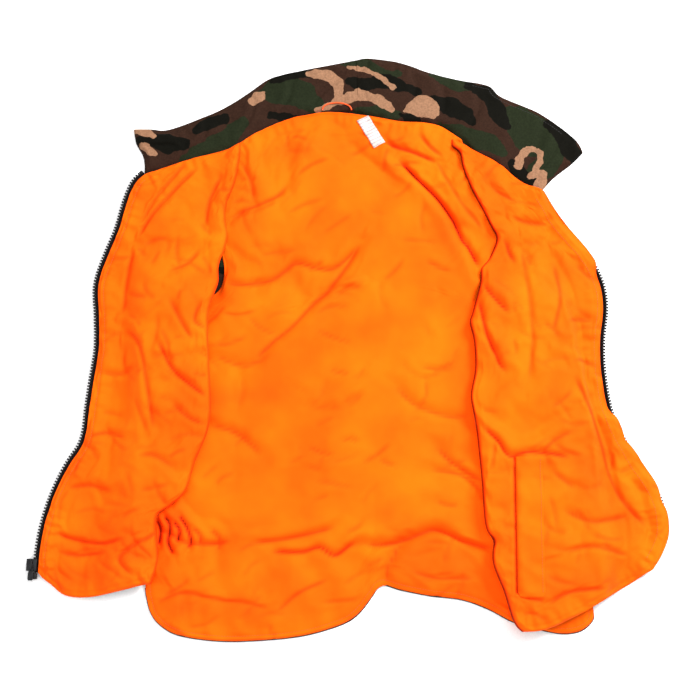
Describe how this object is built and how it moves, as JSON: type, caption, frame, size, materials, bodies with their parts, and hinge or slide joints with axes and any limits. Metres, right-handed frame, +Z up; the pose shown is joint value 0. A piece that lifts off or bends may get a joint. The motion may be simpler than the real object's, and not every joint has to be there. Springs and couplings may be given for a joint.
{
  "type": "quilted vest",
  "caption": "Reversible insulated vest in blaze orange with a camouflage collar and lining, laid open with both fronts folded back and the front zip undone",
  "frame": {"origin": "middle of the footprint, on the surface that the vest lies on", "axes": "+X to the right as it lies with the collar away, +Y towards the collar, +Z up off the surface"},
  "size_m": [0.7939, 0.7519, 0.0334],
  "materials": {
    "shell": "plain-woven polyester, soft matt with a faint sheen",
    "lining": "printed plain-woven polyester, matt",
    "batting": "lofted polyester fill",
    "tape": "woven zip tape",
    "teeth": "moulded acetal, satin",
    "zip_metal": "black enamelled zinc",
    "label": "white satin ribbon",
    "elastic": "woven elastic"
  },
  "bodies": {
    "back": {"back_lining": "lining", "back_batting": "batting", "back_shell": "shell", "back_waist_elastic": "elastic", "left_side_shell": "shell", "left_side_batting": "batting", "left_side_lining": "lining", "right_side_shell": "shell", "right_side_batting": "batting", "right_side_lining": "lining", "collar_back_lining": "lining", "collar_back_batting": "batting", "collar_back_outer": "lining", "hanger_loop": "shell"},
    "left_front": {"left_front_lining": "lining", "left_front_batting": "batting", "left_front_shell": "shell", "collar_left_lining": "lining", "collar_left_batting": "batting", "collar_left_outer": "lining", "left_zipper_tape": "tape", "left_zipper_teeth": "teeth", "left_top_stop": "teeth", "retainer_box": "teeth"},
    "right_front": {"right_front_lining": "lining", "right_front_batting": "batting", "right_front_shell": "shell", "collar_right_lining": "lining", "collar_right_batting": "batting", "collar_right_outer": "lining", "right_zipper_tape": "tape", "right_zipper_teeth": "teeth", "right_top_stop": "teeth", "insertion_pin": "teeth", "pocket_bag_inner": "lining", "pocket_bag_outer": "lining"},
    "slider": {"slider_body": "zip_metal", "slider_bridge": "zip_metal"},
    "pull_tab": {"pull_tab": "zip_metal"},
    "care_label": {"care_label": "label"},
    "pocket_welt": {"pocket_welt": "shell"}
  },
  "joints": [
    {"name": "left_front_fold", "type": "hinge", "parent": "back", "child": "left_front", "pos_m": [-0.214, -0.314, 0.0215], "axis": [0.1392, 0.9902, -0.0079], "range_deg": [0, 150]},
    {"name": "right_front_fold", "type": "hinge", "parent": "back", "child": "right_front", "pos_m": [0.185, -0.365, 0.0215], "axis": [0.059, -0.9982, 0.0072], "range_deg": [0, 150]},
    {"name": "zip_slider_travel", "type": "hinge", "parent": "left_front", "child": "slider", "pos_m": [-0.109, -0.293, 0.005], "axis": [0, 0, -1], "range_deg": [0, 30]},
    {"name": "pull_tab_flip", "type": "hinge", "parent": "slider", "child": "pull_tab", "pos_m": [-0.38985, -0.28368, 0.0109], "axis": [-0.9995, 0.0332, 0], "range_deg": [0, 175]},
    {"name": "care_label_lift", "type": "hinge", "parent": "back", "child": "care_label", "pos_m": [0.0197, 0.2914, 0.0108], "axis": [-0.8829, -0.4695, 0], "range_deg": [0, 150]},
    {"name": "pocket_welt_lift", "type": "hinge", "parent": "right_front", "child": "pocket_welt", "pos_m": [0.2405, -0.236, 0.032], "axis": [0, 1, 0], "range_deg": [0, 25]}
  ]
}
